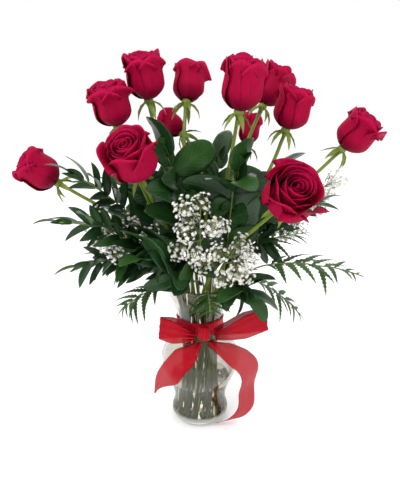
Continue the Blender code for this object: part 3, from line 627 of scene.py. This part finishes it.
def spear(peak, blunt=1.0):
    # 0 at both ends, 1 at peak: s^a (1 - s)^b scaled, with a : b = peak : 1 - peak
    a, b = peak * 1.6 * blunt, (1 - peak) * 1.6 * blunt
    most = peak**a * (1 - peak) ** b
    return lambda s: np.maximum(s, 0) ** a * np.maximum(1 - s, 0) ** b / most * 0.98 + 0.02 * (1 - s)


def buildRose(name):
    # the stem on its own line, a turned calyx, thorns above the vase's rim, and a leaf for each sepal
    points, edges = nodeArrays(name + "_stem")
    path = followStem(points, edges, stemLook["radius"])
    base, axis = buildBloom(name, path[-1])
    low = path[np.linalg.norm(path - base, axis=1) > stemLook["calyxLength"] + 0.004]
    line = evenly(np.concatenate([low, [base - axis * stemLook["calyxLength"] * 0.9]]), 44)
    shells = Shells()
    addTube(shells, line, stemLook["radius"], stemLook["sides"], 0.35)
    share = np.linspace(0, 1, 9)
    cup = base + axis * (stemLook["calyxLength"] * (share * 1.15 - 1.0))[:, None]
    addTube(shells, cup, through(stemLook["calyx"], share)[:, 0], 16, 0.5)
    dice = np.random.default_rng(len(path) * 31)
    above = line[line[:, 2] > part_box("vase")[1][2] + 0.01]
    for at in dice.integers(3, max(4, len(above) - 6), stemLook["thorns"]):
        run = unit(above[at + 1] - above[at])
        out = unit(np.cross(run, dice.normal(size=3)))
        addThorn(shells, above[at] + out * stemLook["radius"] * 0.85, run, out, stemLook["thornSize"])
    for tip, mates in tipsOf(points, edges, path, leastLeaf):
        leaf = readLeaf(tip, mates, path, 0.30)
        outward = unit(tip - base - axis * ((tip - base) @ axis))
        leaf["root"] = base - axis * 0.004 + outward * stemLook["sepalRing"]
        reach = tip - leaf["root"]
        leaf["length"] = np.linalg.norm(reach)
        leaf["along"] = reach / leaf["length"]
        leaf["side"] = unit(leaf["side"] - leaf["along"] * (leaf["side"] @ leaf["along"]))
        leaf["over"] = np.cross(leaf["along"], leaf["side"])
        if leaf["over"] @ axis < 0:
            leaf["side"], leaf["over"] = -leaf["side"], -leaf["over"]
        leaf["half"] = stemLook["sepalHalfWidth"]
        addLeaf(shells, leaf, spear(0.30), 12, 7, dice.uniform(0.04, 0.16), 0.5, 0.0008, 0.45, 0.12,
                dice.uniform(0, 6))
    piece = shells.build(name + "_stalk", roseGreenFinish)
    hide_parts(name + "_stem")


for number in range(1, 13):
    buildRose("rose_%02d" % number)
print("roses built")


# Greenery: every leaf of the CAD sprays is read back and grown as a modelled leaf.

leafLook = {
    "fern": {"slender": 0.26, "rows": 26, "columns": 5, "arch": 0.10, "fold": 0.10, "thickness": 0.0007,
             "ripple": 0.0, "twins": ()},
    "ruscus": {"slender": 0.30, "rows": 14, "columns": 7, "arch": 0.12, "fold": 0.30, "thickness": 0.0008,
               "ripple": 0.0, "twins": (1.1, -0.9)},
    "salal": {"slender": 0.52, "rows": 18, "columns": 9, "arch": 0.14, "fold": 0.22, "thickness": 0.0009,
              "ripple": 0.03, "twins": (1.0, -1.2)},
}
sprayRadius, sprayTaper = 0.0014, 0.0005  # a spray's stem at its foot, and how much thinner its tip is


def lobed(s):
    # a fern leaflet: a tapering strip whose edge swings between 0.55 and 1 of the half width
    strip = np.minimum(1.0, s * 7) * (1 - s) ** 0.75 * 1.12
    return strip * (0.76 + 0.24 * np.sin(s * 2 * np.pi * 8.5)) + 0.015


def buildSpray(name, kind, finish, outline):
    # a leaf from each tip, and the kind's twins: smaller copies turned round the stem
    look = leafLook[kind]
    points, edges = nodeArrays(name)
    path = followStem(points, edges, sprayRadius)
    shells, stalk = Shells(), Shells()
    line = evenly(path, 56)
    addTube(stalk, line, sprayRadius - sprayTaper * np.linspace(0, 1, 56), 8, 0.25)
    dice = np.random.default_rng(len(points) * 13 + len(path))
    shape = (outline, look["rows"], look["columns"])
    for tip, mates in tipsOf(points, edges, path, leastLeaf):
        leaf = readLeaf(tip, mates, path, look["slender"])
        at = max(1, np.linalg.norm(path - leaf["root"], axis=1).argmin() - 3)
        addLeaf(shells, leaf, *shape, look["arch"] * 0.9, look["fold"], look["thickness"],
                dice.uniform(0.1, 0.75), look["ripple"], dice.uniform(0, 6))
        for turn in look["twins"]:
            twin = dict(leaf, length=leaf["length"] * dice.uniform(0.6, 0.85),
                        half=leaf["half"] * dice.uniform(0.65, 0.85))
            run = unit(path[min(len(path) - 1, at + 1)] - path[at - 1])
            twin["root"] = path[at]
            for part in ("along", "side", "over"):
                twin[part] = turned(leaf[part][None], run, turn + dice.uniform(-0.3, 0.3))[0]
            addLeaf(shells, twin, *shape, look["arch"], look["fold"], look["thickness"],
                    dice.uniform(0.0, 0.6), 0.02, dice.uniform(0, 6))
    for piece in (shells.build(name + "_leaves", finish), stalk.build(name + "_stem", roseGreenFinish)):
        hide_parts(name)


for number in range(1, 8):
    buildSpray("fern_%d" % number, "fern", fernFinish, lobed)
    buildSpray("salal_%d" % number, "salal", leafFinish, spear(0.42, 0.62))
for number in range(1, 7):
    buildSpray("ruscus_%d" % number, "ruscus", leafFinish, spear(0.40, 0.85))
print("greenery built")


# Baby's breath: small double flowers on fine stalks fill each puff of the CAD spray.

blossomLook = {
    "flowers": 32,  # in each puff
    "size": 0.0027,
    "stalk": 0.00030,
    "spiral": 2.39996,  # turn from one flower to the next round a puff
    "puffShare": 1 / 1.0515,  # a CAD puff's radius over its corners' spacing
}


def flowerPattern():
    # two stacked frilled discs: ring points at radius size (1 + 0.2 cos 5a), level + 0.16 cos 5a high,
    # domed above and closed to a point below
    count = 10
    angle = circle(count)
    frill = 1 + 0.20 * np.cos(5 * angle)
    points, triangles = [], []
    for level, size, dome in ((0.0, 1.0, 0.30), (0.34, 0.62, 0.34)):
        start = len(points) * (count + 2)
        ring = np.stack([size * frill * np.cos(angle + level), size * frill * np.sin(angle + level),
                         level + 0.16 * np.cos(5 * angle)], -1)
        points.append(np.concatenate([ring, [[0, 0, level + dome], [0, 0, level - 0.45]]]))
        j = np.arange(count)
        k = (j + 1) % count
        triangles += [np.stack([j, k, np.full(count, count)], -1) + start,
                      np.stack([k, j, np.full(count, count + 1)], -1) + start]
    return np.concatenate(points), np.concatenate(triangles)


def addFlowers(shells, places, facing, sizes, tints):
    # the pattern set at each place, its axis along facing: p = place + size (x a + y b + z facing)
    points, triangles = flowerPattern()
    a = unit(np.cross(facing, [0.31, 0.52, 0.79]))
    b = np.cross(facing, a)
    local = (points[None, :, :1] * a[:, None] + points[None, :, 1:2] * b[:, None]
             + points[None, :, 2:] * facing[:, None])
    placed = places[:, None] + sizes[:, None, None] * local
    step = np.arange(len(places))[:, None, None] * len(points)
    shells.add(placed.reshape(-1, 3), np.zeros((0, 4), int), (triangles[None] + step).reshape(-1, 3),
               np.tile(points[:, :2] * 0.5 + 0.5, (len(places), 1)), np.repeat(tints, len(points)))


def buildBlossom(name):
    # each tip is a corner of a puff: its flowers stand on a spiral over the puff's sphere,
    # away = (sqrt(1 - z^2) cos t, sqrt(1 - z^2) sin t, z), each drawn in by its own share
    points, edges = nodeArrays(name)
    path = followStem(points, edges, sprayRadius)
    dice = np.random.default_rng(len(points) * 17)
    stalks, flowers = Shells(), Shells()
    addTube(stalks, evenly(path, 50), 0.0013 - 0.0005 * np.linspace(0, 1, 50), 7, 0.5)
    for tip, mates in tipsOf(points, edges, path, leastLeaf):
        root = readLeaf(tip, mates, path, 0.3)["root"]
        puff = np.median(np.linalg.norm(mates - tip, axis=1)) * blossomLook["puffShare"]
        centre = tip + unit(mates.mean(axis=0) - tip) * puff
        fork = root + (centre - root) * 0.62 + up * 0.002
        twig = evenly(np.stack([root, (root + fork) / 2 + up * 0.001, fork, centre]), 8)
        addTube(stalks, twig, 0.0007 - 0.0003 * np.linspace(0, 1, 8), 5, 0.4)
        count = blossomLook["flowers"]
        turn = np.arange(count) * blossomLook["spiral"] + dice.uniform(0, 6)
        z = 1 - 2 * (np.arange(count) + 0.5) / count
        sphere = np.stack([np.sqrt(1 - z * z) * np.cos(turn), np.sqrt(1 - z * z) * np.sin(turn), z], -1)
        away = unit(sphere + 0.25 * dice.normal(size=(count, 3)))
        reach = puff * dice.uniform(0.25, 1.0, count) ** 0.5 * 1.08
        places = centre + away * reach[:, None]
        facing = unit(away + 0.5 * unit(centre - root) + 0.25 * up)
        sizes = blossomLook["size"] * dice.uniform(0.65, 1.1, count)
        addFlowers(flowers, places, facing, sizes, dice.uniform(0, 1, count))
        for place in places:
            start = fork + (centre - fork) * dice.uniform(0.0, 0.9)
            bent = (start + place) / 2 + dice.normal(size=3) * 0.0008
            addTube(stalks, np.stack([start, bent, place]), blossomLook["stalk"], 3, 0.7)
    for piece in (flowers.build(name + "_flowers", blossomFinish),
                  stalks.build(name + "_stalks", twigFinish)):
        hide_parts(name)


for number in range(1, 7):
    buildBlossom("babys_breath_%d" % number)
print("baby's breath built")


# The vase and its water: turned profiles on the CAD's heights and radii.

vaseLook = {
    "segments": 112,
    "wall": 0.0026,
    "floor": 0.012,
    "water": 0.070,
    "overlap": 0.00012,  # the water reaches this far into the glass
    "footFlat": 0.034,  # radius of the flat that it stands on
    "footRound": 0.0022,
    "insideRound": 0.007,
    "film": 0.0006,  # how far the water climbs the glass
    "knots": ((0.0, 0.036), (0.014, 0.045), (0.038, 0.0405), (0.107, 0.061), (0.170, 0.034), (0.235, 0.052)),
}


def glassRadius(z):
    # from knot to knot the radius eases by a half cosine
    places = np.array([k[0] for k in vaseLook["knots"]])
    radii = np.array([k[1] for k in vaseLook["knots"]])
    i = np.clip(np.searchsorted(places, z, side="right") - 1, 0, len(places) - 2)
    t = np.clip((z - places[i]) / (places[i + 1] - places[i]), 0, 1)
    return radii[i] + (radii[i + 1] - radii[i]) * (1 - np.cos(np.pi * t)) / 2


def buildTurned(name, profile, segments, finish):
    # the profile's points (radius, z) turned about +Z; the first and last are on the axis
    shells = Shells()
    profile = np.asarray(profile, float)
    angle = circle(segments)
    rows = len(profile) - 2
    points = turnedRings(profile[1:-1], angle)
    ends = [[0, 0, profile[0, 1]], [0, 0, profile[-1, 1]]]
    along = np.repeat(np.linspace(0, 1, rows), segments)
    uv = np.stack([np.tile(angle / (2 * np.pi), rows), along], -1)
    shells.add(np.concatenate([points.reshape(-1, 3), ends]), gridFaces(rows, segments, True),
               endFans(rows, segments), np.concatenate([uv, poleUv]), 0.0)
    return shells.build(name, finish)


def rounded(z, low, radius):
    # how far a corner of that radius pulls in at a height z over low
    d = np.clip(radius - (z - low), 0, radius)
    return radius - np.sqrt(np.maximum(radius**2 - d**2, 0))


wall, inside = vaseLook["wall"], vaseLook["floor"]
top = vaseLook["knots"][-1][0]
climb = np.r_[np.linspace(0, 0.004, 6), np.linspace(0.004, top - wall / 2, 90)[1:]]
outer = np.stack([glassRadius(climb) - rounded(climb, 0.0, vaseLook["footRound"]), climb], -1)
lipTurn = np.linspace(0, np.pi, 8)[1:-1]
lipMiddle = glassRadius(np.array([top]))[0] - wall / 2
lip = np.stack([lipMiddle + wall / 2 * np.cos(lipTurn), top - wall / 2 + wall / 2 * np.sin(lipTurn)], -1)
drop = np.linspace(top - wall / 2, inside, 80)
inner = np.stack([glassRadius(drop) - wall - rounded(drop, inside, vaseLook["insideRound"]), drop], -1)
bottom = [[inner[-1, 0] * 0.6, inside], [inner[-1, 0] * 0.25, inside + 0.0003], [0, inside + 0.0004]]
vaseProfile = np.concatenate([[[0, 0], [vaseLook["footFlat"], 0]], outer, lip, inner, bottom])
vasePiece = buildTurned("vase_glass", vaseProfile, vaseLook["segments"], glassFinish)
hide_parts("vase")

level = vaseLook["water"]
rise = np.linspace(inside, level, 34)
within = glassRadius(rise) - wall - rounded(rise, inside, vaseLook["insideRound"])
wet = np.stack([within + vaseLook["overlap"], rise], -1)
edge, lift = wet[-1, 0], vaseLook["film"]
film = [[edge, level + lift], [edge - lift, level + lift / 3], [edge - 0.002, level], [edge * 0.5, level]]
under = [[0, inside + 0.0003], [wet[0, 0] * 0.5, inside + 0.0002]]
waterPiece = buildTurned("water_body", np.concatenate([under, wet, film, [[0, level]]]), 96, waterFinish)
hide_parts("water")
print("vase and water built")


# The ribbon: a pleated band, a gathered knot, two loops and two tails of sheer fabric.

ribbonCut = {
    "width": 0.036,
    "thickness": 0.00055,
    "band": 0.020,  # width of the turn round the neck
    "bandHeight": 0.170,
    "loopDepth": 0.022,
    "loops": {"left": (-1, 0.051, 0.28), "right": (1, 0.076, 0.40)},  # side, reach, slope
    "standOff": 0.0014,  # least from the glass to a tail
    "knot": (0.024, 0.016, 0.022),
    # stops from the knot down: bearing, stand-off, share of the knot's lower edge, facing, slope
    "tails": {
        "left": ((266, .007, .97, 268, 0), (244, .006, .82, 262, -40), (226, .011, .60, 258, -28),
                 (216, .022, .36, 262, -12)),
        "right": ((290, .007, .97, 282, 0), (316, .009, .86, 292, 38), (334, .020, .68, 300, 30),
                  (342, .030, .42, 312, 10), (340, .036, .20, 308, -6), (322, .010, .03, 290, 0)),
    },
    "slants": {"left": 1.0, "right": 0.0},  # how far each tail's end is cut to a point
}
ribbonWidth = ribbonCut["width"]
knotLow, knotHigh = (np.array(corner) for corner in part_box("ribbon_knot"))
knotMiddle = (knotLow + knotHigh) / 2
knotSize = np.array(ribbonCut["knot"])


def addStrip(name, middles, wides, halves, waves, amount, phase, flatLength, slant=0.0):
    # rows along the strip, columns across: middle + wide half c, gathered into soft pleats by
    # amount sin(waves pi c + phase) along the strip's normal, stronger where the strip is narrow
    rows, columns = len(middles), 17
    c = np.linspace(-1, 1, columns)
    run = unit(np.gradient(middles, axis=0))
    normal = unit(np.cross(wides, run))
    narrow = (ribbonWidth / 2 / halves)[:, None]
    along = np.linspace(0, 1, rows)[:, None]
    wander = 1.2 * np.sin(along * 5 + phase)
    pleat = amount * (narrow**1.5 - 0.55) * np.sin(waves * np.pi * c[None] + phase + wander)
    flutter = amount * 0.35 * np.sin(along * 23 + phase) * c[None] ** 2
    across = (c[None] + slant) * (1 - smooth(0.62, 1.0, along) * 0.93 * abs(slant)) - slant
    surface = (middles[:, None] + wides[:, None] * (halves[:, None] * across)[..., None]
               + normal[:, None] * (pleat + flutter)[..., None])
    shells = Shells()
    uv = np.stack([np.broadcast_to((c[None] + 1) / 2, pleat.shape),
                   np.broadcast_to(along * flatLength / ribbonWidth, pleat.shape)], -1)
    # the tint is painted shade, deepest in the hollows of the pleats where the strip is gathered narrow
    addBlade(shells, surface, np.full(pleat.shape, ribbonCut["thickness"]), uv,
             np.clip(0.5 - 0.5 * pleat / amount, 0, 1) * np.clip(narrow - 1, 0, 1))
    piece = shells.build(name, sheerFinish)
    return piece


def lengthOf(path):
    # the sum of the path's steps
    return float(np.linalg.norm(np.diff(path, axis=0), axis=1).sum())


def buildLoop(name, side, reach, lift):
    # out = reach (1 + cos a) / 2, depth = -D/4 + D/2 sin a sin |a|/2 for a from -160 to 160 degrees
    turn = np.radians(np.linspace(-160, 160, 65))
    start = knotMiddle + np.array([side * (knotSize[0] / 2 + 0.0016), 0, 0])
    out = reach * (1 + np.cos(turn)) / 2
    deep = ribbonCut["loopDepth"] * (-0.25 + 0.5 * np.sin(turn) * np.sin(np.abs(turn) / 2))
    middles = start + np.stack([side * out, deep - 0.12 * out, lift * out], -1)
    halves = ribbonWidth / 2 * (0.30 + 0.70 * np.minimum(1.0, out / (reach * 0.6)))
    wides = np.broadcast_to(unit(np.array([-side * lift * 0.35, 0.0, 1.0])), middles.shape)
    length = lengthOf(middles)
    piece = addStrip(name + "_fabric", middles, wides, halves, 3.0, 0.0009, side * 1.0, length)
    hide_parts(name)


def buildTail(name, course, slant):
    # a curve through the stops; every corner is then kept off the glass and off the table
    along = np.linspace(0, 1, 73)
    stops = through([(i / (len(course) - 1), *stop) for i, stop in enumerate(course)], along)
    z = (knotMiddle[2] - knotSize[2] / 2) * stops[:, 2]
    middles = polar(glassRadius(np.maximum(z, 0)) + stops[:, 1], stops[:, 0], z)
    tilt = np.radians(stops[:, 4])
    facing = np.radians(stops[:, 3] + 90)
    wides = np.stack([np.cos(tilt) * np.cos(facing), np.cos(tilt) * np.sin(facing), np.sin(tilt)], -1)
    halves = ribbonWidth / 2 * np.minimum(1.0, 0.35 + 2.2 * along)
    length = lengthOf(middles)
    piece = addStrip(name + "_fabric", middles, wides, halves, 2.0, 0.0006, 0.4, length, slant)
    mesh = piece.data
    points = np.empty(len(mesh.vertices) * 3, np.float32)
    mesh.vertices.foreach_get("co", points)
    points = points.reshape(-1, 3)
    reach = np.hypot(points[:, 0], points[:, 1])
    least = glassRadius(np.maximum(points[:, 2], 0).astype(float)) + ribbonCut["standOff"]
    points[:, :2] *= (np.maximum(reach, least) / reach)[:, None]
    points[:, 2] = np.maximum(points[:, 2], 0.0005)
    mesh.vertices.foreach_set("co", points.ravel())
    mesh.update()
    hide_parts(name)


def buildKnot():
    # a pleated strap drawn tight: in section a rounded box, x = 0.42 w q |cos a|^0.75 and
    # y = 0.5 d q |sin a|^0.75, z = -h/2 cos(pi s), where q(s) swells to the middle and folds cut into it
    rows, columns = 40, 132
    s = np.linspace(0, 1, rows)[1:-1, None]
    a = circle(columns)[None]
    fold = np.abs(np.sin(5.5 * a + 0.9 * np.sin(2.2 * np.pi * s) + 0.5)) ** 0.6
    swell = np.sin(np.pi * s) ** 0.42 * (1.02 - 0.20 * (1 - fold))
    x = np.sign(np.cos(a)) * np.abs(np.cos(a)) ** 0.75 * (0.80 + 0.22 * np.abs(np.cos(np.pi * s)))
    y = np.sign(np.sin(a)) * np.abs(np.sin(a)) ** 0.75
    points = np.stack([knotSize[0] / 2 * 0.84 * swell * x, knotSize[1] / 2 * swell * y,
                       -np.cos(np.pi * s) * knotSize[2] / 2 + 0 * a], -1) + knotMiddle
    ends = knotMiddle + np.array([[0, 0, -knotSize[2] / 2], [0, 0, knotSize[2] / 2]])
    uv = np.stack([np.broadcast_to(a / (2 * np.pi) * 3, swell.shape), np.broadcast_to(s, swell.shape)], -1)
    # the tint is painted shade, darker in the creases where the folds cut in
    shells = Shells()
    shells.add(np.concatenate([points.reshape(-1, 3), ends]), gridFaces(rows - 2, columns, True),
               endFans(rows - 2, columns), np.concatenate([uv.reshape(-1, 2), poleUv]),
               np.concatenate([(1 - fold + 0 * s).ravel(), [0.5, 0.5]]))
    piece = shells.build("knot_fabric", knotFinish)
    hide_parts("ribbon_knot")


def buildBand():
    # a sleeve outside the glass: pleats run round it as 0.4 mm cosine waves across its height
    heights = np.linspace(-1, 1, 25)
    z = ribbonCut["bandHeight"] + heights * ribbonCut["band"] / 2
    low = glassRadius(ribbonCut["bandHeight"] + np.array([-1.0, 0.0, 1.0]) * ribbonCut["band"] / 2)
    chord = np.interp(heights, [-1, 0, 1], low) + 0.0006
    outside = chord + 0.0010 + 0.0004 * np.cos(heights * np.pi * 3)
    profile = np.concatenate([np.stack([chord, z], -1), np.stack([outside, z], -1)[::-1]])
    segments = 96
    points = turnedRings(profile, circle(segments))
    count = len(profile)
    quads = gridFaces(count, segments, True)
    j = np.arange(segments)
    k = (j + 1) % segments
    seam = np.stack([(count - 1) * segments + j, (count - 1) * segments + k, k, j], -1)
    uv = np.stack([np.tile(np.linspace(0, 1, segments), count) * 6,
                   np.repeat(np.linspace(0, 1, count), segments)], -1)
    shells = Shells()
    shells.add(points.reshape(-1, 3), np.concatenate([quads, seam])[:, ::-1], noFaces, uv[:, ::-1], 0.0)
    piece = shells.build("band_fabric", knotFinish)
    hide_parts("ribbon_band")


buildBand()
buildKnot()
for hand in ("left", "right"):
    buildLoop("ribbon_loop_" + hand, *ribbonCut["loops"][hand])
for hand in ("left", "right"):
    buildTail("ribbon_tail_" + hand, ribbonCut["tails"][hand], ribbonCut["slants"][hand])
print("ribbon built")


# Floor, light and camera.

studio = {
    "floor": (0.90, 0.90, 0.90),
    "world": (1.0, 1.0, 1.0),
    "front": (0.60, 0.60, 0.60),
    "worldStrength": 1.0,
    "keyWatts": 22.0,
    "fillWatts": 8.0,
    "lamps": (("key", (-0.9, -1.1, 1.7), 1.2, "keyWatts"), ("fill", (1.3, -0.7, 1.2), 1.4, "fillWatts"),
              ("back", (0.3, 1.5, 1.4), 1.4, "fillWatts")),  # name, place, size, its power's name
    "aim": (0, 0, 0.3),
    "cameraPlace": (0.0, -0.80, 0.565),
    "cameraDown": 19.4,
    "lens": 41.2,
}


def buildStudio():
    # a pale floor that meets a pale world, three soft lamps and the camera
    mesh = bpy.data.meshes.new("floor")
    mesh.from_pydata([(-6, -6, 0), (6, -6, 0), (6, 6, 0), (-6, 6, 0)], [], [(0, 1, 2, 3)])
    staged = [linked("floor", mesh)]
    mesh.materials.append(Paint("pale floor", studio["floor"], 0.7, Specular_IOR_Level=0.2,
                                Emission_Strength=0.2, Emission_Color=(1.0, 1.0, 1.0, 1.0)).finish)
    world = bpy.data.worlds.new("studio")
    world.use_nodes = True
    tree = world.node_tree
    back = tree.nodes["Background"]
    place, split, share, fade = (tree.nodes.new("ShaderNode" + kind)
                                 for kind in ("TexCoord", "SeparateXYZ", "MapRange", "ValToRGB"))
    share.inputs["From Min"].default_value = -1.0  # from -1..1 to 0..1
    tree.links.new(place.outputs["Generated"], split.inputs["Vector"])
    tree.links.new(split.outputs["Y"], share.inputs["Value"])
    tree.links.new(share.outputs["Result"], fade.inputs["Fac"])
    tree.links.new(fade.outputs["Color"], back.inputs["Color"])
    fade.color_ramp.elements[0].color = (*studio["front"], 1.0)  # behind the camera: dimmer, for contrast
    fade.color_ramp.elements[1].color = (*studio["world"], 1.0)
    fade.color_ramp.elements[1].position = 0.7
    back.inputs["Strength"].default_value = studio["worldStrength"]
    bpy.context.scene.world = world
    for name, place, size, watts in studio["lamps"]:
        lamp = bpy.data.lights.new(name, "AREA")
        lamp.energy = studio[watts]
        lamp.size = size
        lampObject = linked(name, lamp)
        lampObject.location = place
        aim = unit(np.array(studio["aim"]) - np.array(place))
        lampObject.rotation_euler = (math.acos(-aim[2]), 0, math.atan2(aim[1], aim[0]) - math.pi / 2)
        staged.append(lampObject)
    camera = bpy.data.cameras.new("camera")
    camera.lens = studio["lens"]
    camera.sensor_width = 36.0
    cameraObject = linked("camera", camera)
    cameraObject.location = studio["cameraPlace"]
    cameraObject.rotation_euler = (math.radians(90 - studio["cameraDown"]), 0, 0)
    bpy.context.scene.camera = cameraObject
    bpy.context.scene.view_settings.view_transform = "Standard"


buildStudio()
print("studio set")
